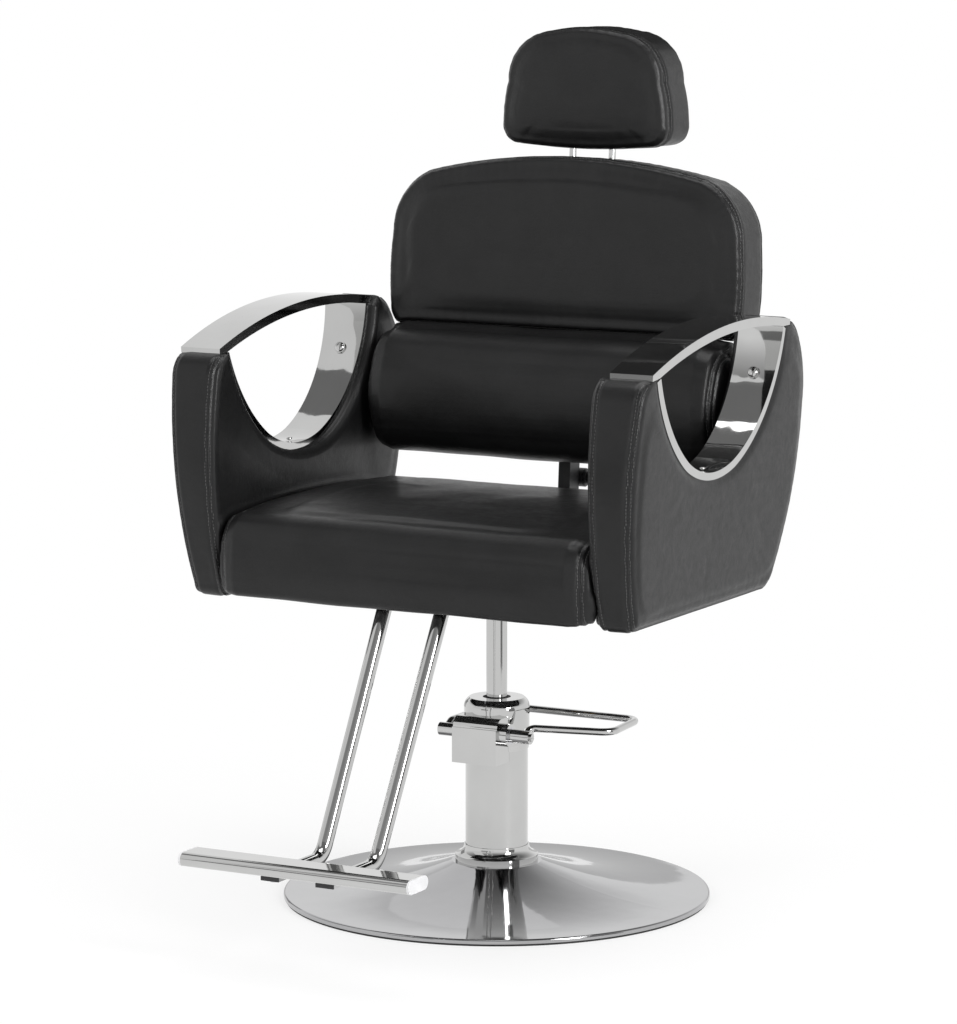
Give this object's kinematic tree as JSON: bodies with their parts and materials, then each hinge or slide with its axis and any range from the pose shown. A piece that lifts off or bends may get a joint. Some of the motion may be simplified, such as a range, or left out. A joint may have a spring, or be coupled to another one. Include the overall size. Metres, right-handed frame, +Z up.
{
  "type": "threading chair",
  "caption": "Hydraulic salon chair with a round base, swivel seat, looped armrests, reclining back, sliding headrest and footrest",
  "frame": {"origin": "on the floor at the middle of the round base", "axes": "+Z up; the sitter looks towards -Y, so +X is on the sitter's left hand"},
  "size_m": [0.7058, 0.875, 1.167],
  "materials": {
    "black_leather": "satin, fine grain",
    "black_plastic": "matte",
    "black_rubber": "matte",
    "black_steel": "satin black",
    "bright_steel": "brushed",
    "bronze": "machined",
    "chrome_plate": "polished",
    "light_plastic": "gloss",
    "plywood": "raw"
  },
  "bodies": {
    "base": {"base_disc": "chrome_plate", "base_gasket": "black_rubber", "base_plate": "black_steel", "base_tie_bolts": "bright_steel", "pump_collar": "chrome_plate", "pump_tube": "chrome_plate", "tube_plug": "bright_steel", "pressure_cylinder": "bright_steel", "pump_head": "chrome_plate", "housing_cover": "chrome_plate", "rod_guide_bush": "bronze", "rod_wiper": "black_rubber", "shaft_bushes": "bright_steel", "plunger_barrel": "bright_steel", "plunger_spring": "bright_steel"},
    "plunger": {"plunger": "bright_steel"},
    "pedal": {"pedal_shaft": "chrome_plate", "pedal_loop": "chrome_plate", "pedal_screw": "chrome_plate", "pump_cam": "bright_steel"},
    "piston": {"piston_rod": "chrome_plate", "piston_head": "bright_steel", "piston_seal": "black_rubber", "thrust_washer": "bronze"},
    "seat": {"swivel_hub": "black_steel", "seat_mount_plate": "black_steel", "seat_bolts": "bright_steel", "frame_rails": "black_steel", "frame_front": "black_steel", "frame_rear": "black_steel", "recline_bracket": "black_steel", "pivot_pins": "bright_steel", "strut_case": "black_steel", "footrest_bracket": "black_steel", "footrest_tubes": "chrome_plate", "footrest_bar": "chrome_plate", "footrest_end_caps": "light_plastic", "footrest_tube_plugs": "black_plastic", "seat_board": "plywood", "seat_cushion": "black_leather", "arm_cores": "plywood", "arm_pad_left": "black_leather", "arm_pad_right": "black_leather", "arm_liner_left": "chrome_plate", "arm_liner_right": "chrome_plate", "armrest_left": "chrome_plate", "armrest_right": "chrome_plate", "liner_fixings": "chrome_plate"},
    "back": {"back_upright": "black_steel", "back_board": "plywood", "back_cushion": "black_leather", "lumbar_board": "plywood", "lumbar_cushion": "black_leather", "headrest_sockets": "black_steel", "back_bolts": "bright_steel"},
    "headrest": {"headrest_frame": "chrome_plate", "headrest_cushion": "black_leather"},
    "lever": {"recline_lever": "black_steel", "lever_grip": "black_plastic"},
    "strut": {"strut_rod": "bright_steel"}
  },
  "joints": [
    {"name": "lift", "type": "slide", "parent": "base", "child": "piston", "axis": [0, 0, 1], "range_m": [-0.1, 0.048]},
    {"name": "swivel", "type": "hinge", "parent": "piston", "child": "seat", "pos_m": [0, 0, 0.4], "axis": [0, 0, 1], "continuous": true},
    {"name": "recline", "type": "hinge", "parent": "seat", "child": "back", "pos_m": [0, 0.206, 0.5], "axis": [-1, 0, 0], "range_deg": [0, 40]},
    {"name": "strut_slide", "type": "slide", "parent": "seat", "child": "strut", "axis": [0, -1, 0], "range_m": [0, 0.03026]},
    {"name": "headrest_slide", "type": "slide", "parent": "back", "child": "headrest", "axis": [0, 0.0698, 0.9976], "range_m": [0, 0.085]},
    {"name": "lever_turn", "type": "hinge", "parent": "back", "child": "lever", "pos_m": [0, 0.23528, 0.54607], "axis": [-1, 0, 0], "range_deg": [0, 18], "stiffness_Nm_per_rad": 1.5, "springref_deg": -20.05},
    {"name": "pedal", "type": "hinge", "parent": "base", "child": "pedal", "pos_m": [0, -0.045, 0.233], "axis": [-1, 0, 0], "range_deg": [0, 20], "stiffness_Nm_per_rad": 4, "springref_deg": -17.19},
    {"name": "plunger_slide", "type": "slide", "parent": "base", "child": "plunger", "axis": [0, 0, -1], "range_m": [0, 0.0051], "deforming": ["plunger_spring"]}
  ],
  "couplings": [
    {"joint": "strut_slide", "follows": "recline", "m_per_rad": 0.042622},
    {"joint": "plunger_slide", "follows": "pedal", "m_per_rad": 0.0142}
  ]
}
